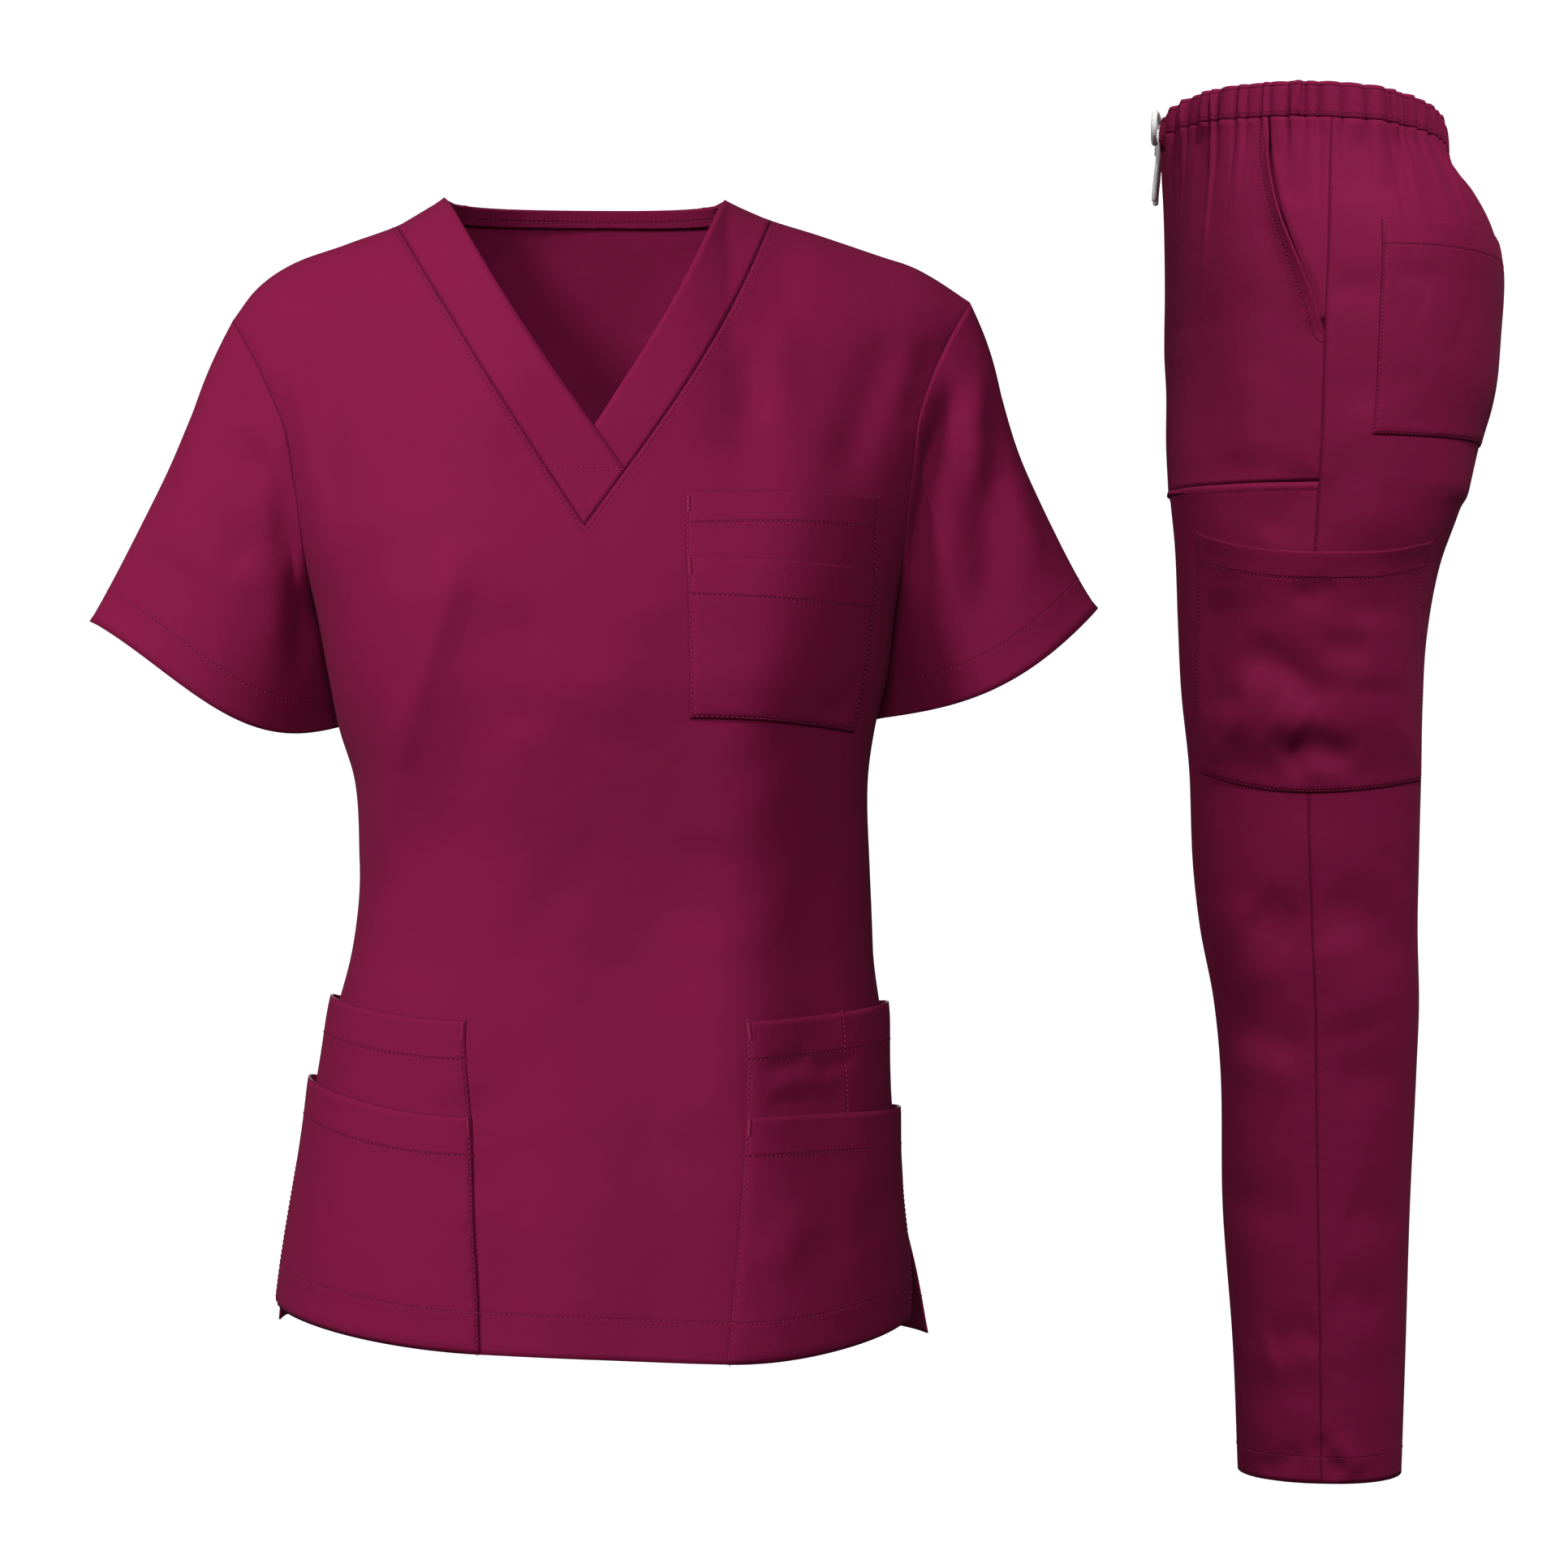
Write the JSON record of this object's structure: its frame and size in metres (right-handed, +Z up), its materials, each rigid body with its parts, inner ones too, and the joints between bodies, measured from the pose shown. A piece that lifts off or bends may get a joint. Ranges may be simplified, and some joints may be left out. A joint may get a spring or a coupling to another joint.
{
  "type": "medical scrubs",
  "caption": "V-neck scrub top with chest and double hip pockets, and elastic-waist cargo trousers with a drawstring, standing beside it as worn.",
  "frame": {"origin": "middle of the top's neck, level with the points where its shoulder seams meet its neckband", "axes": "+Z up, the top's front towards -Y; the top is turned 3.07 degrees and the trousers -98.16 degrees about +Z"},
  "size_m": [0.9512, 0.8212, 0.9912],
  "materials": {
    "wine_poplin": "soft matte twill-faced poplin with a slight sheen",
    "natural_cotton": "matte braided cotton"
  },
  "bodies": {
    "root": {"back_neck_facing": "wine_poplin", "back_pocket_left": "wine_poplin", "back_pocket_right": "wine_poplin", "cargo_pocket_left": "wine_poplin", "cargo_pocket_right": "wine_poplin", "chest_pocket_back": "wine_poplin", "chest_pocket_front": "wine_poplin", "drawstring_end_left": "natural_cotton", "drawstring_end_right": "natural_cotton", "drawstring_knot": "natural_cotton", "drawstring_loop_left": "natural_cotton", "drawstring_loop_right": "natural_cotton", "hip_pocket_left_back": "wine_poplin", "hip_pocket_left_front": "wine_poplin", "hip_pocket_right_back": "wine_poplin", "hip_pocket_right_front": "wine_poplin", "neckband_left": "wine_poplin", "neckband_right": "wine_poplin", "slant_facing_left": "wine_poplin", "slant_facing_right": "wine_poplin", "sleeve_left": "wine_poplin", "sleeve_right": "wine_poplin", "top_back": "wine_poplin", "top_front": "wine_poplin", "trouser_back_left": "wine_poplin", "trouser_back_right": "wine_poplin", "trouser_front_lower_left": "wine_poplin", "trouser_front_lower_right": "wine_poplin", "trouser_front_upper_left": "wine_poplin", "trouser_front_upper_right": "wine_poplin", "waistband": "wine_poplin"}
  },
  "joints": []
}
